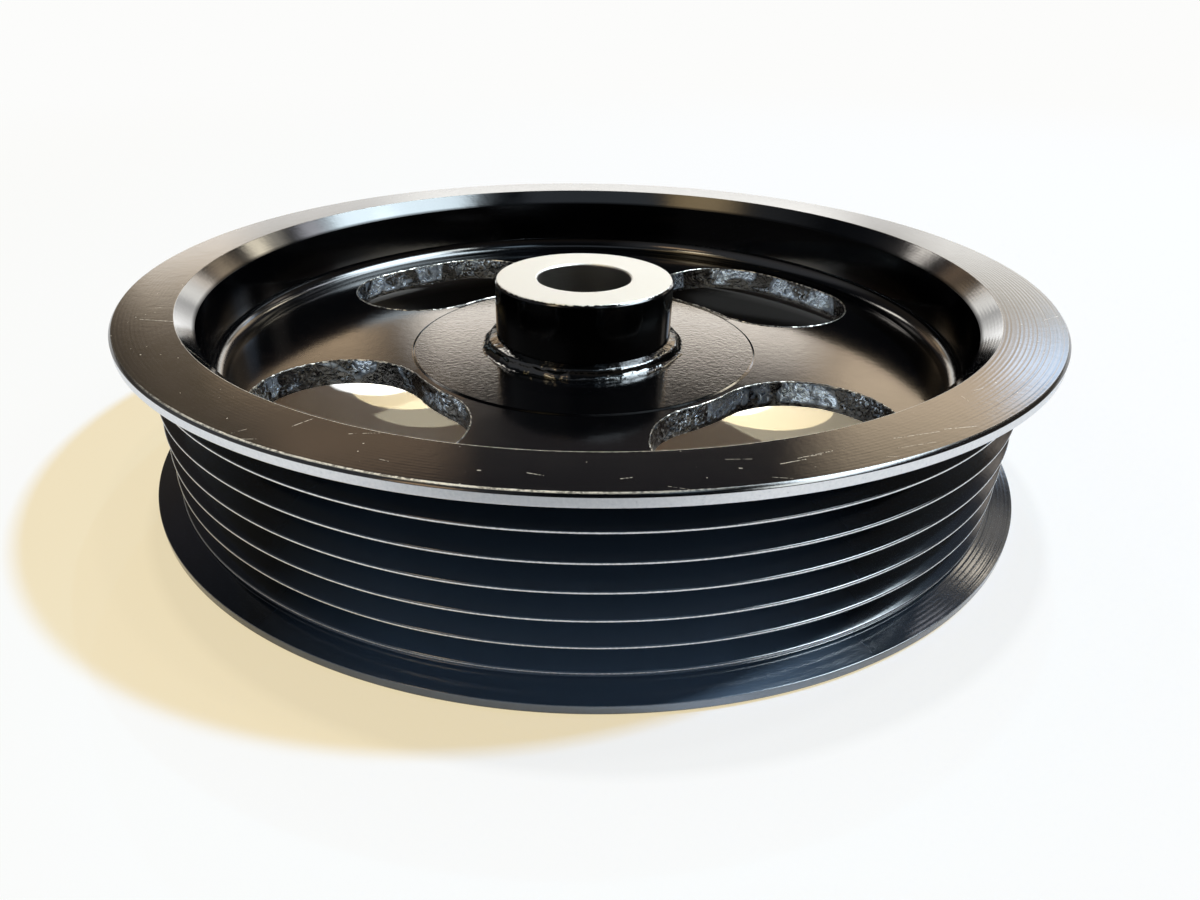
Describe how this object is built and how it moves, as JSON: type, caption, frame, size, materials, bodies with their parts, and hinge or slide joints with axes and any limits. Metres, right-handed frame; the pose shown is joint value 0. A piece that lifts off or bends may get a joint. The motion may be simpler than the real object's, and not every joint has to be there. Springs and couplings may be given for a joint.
{
  "type": "power steering pump pulley",
  "caption": "Ribbed belt pulley with thin flanges, a recessed web with kidney-shaped windows and a welded hub with a plain shaft bore.",
  "frame": {"origin": "on the shaft's axis, in the plane of the rear flange's outer face, which the pulley lies on", "axes": "+Z along the shaft's axis, from the rear flange to the front one; +X and +Y run between windows"},
  "size_m": [0.1326, 0.1326, 0.0268],
  "materials": {
    "black_paint": "gloss",
    "bare_steel": "fine turned"
  },
  "bodies": {
    "root": {"pulley_wheel": "black_paint", "hub": "bare_steel", "weld_bead": "black_paint"}
  },
  "joints": []
}
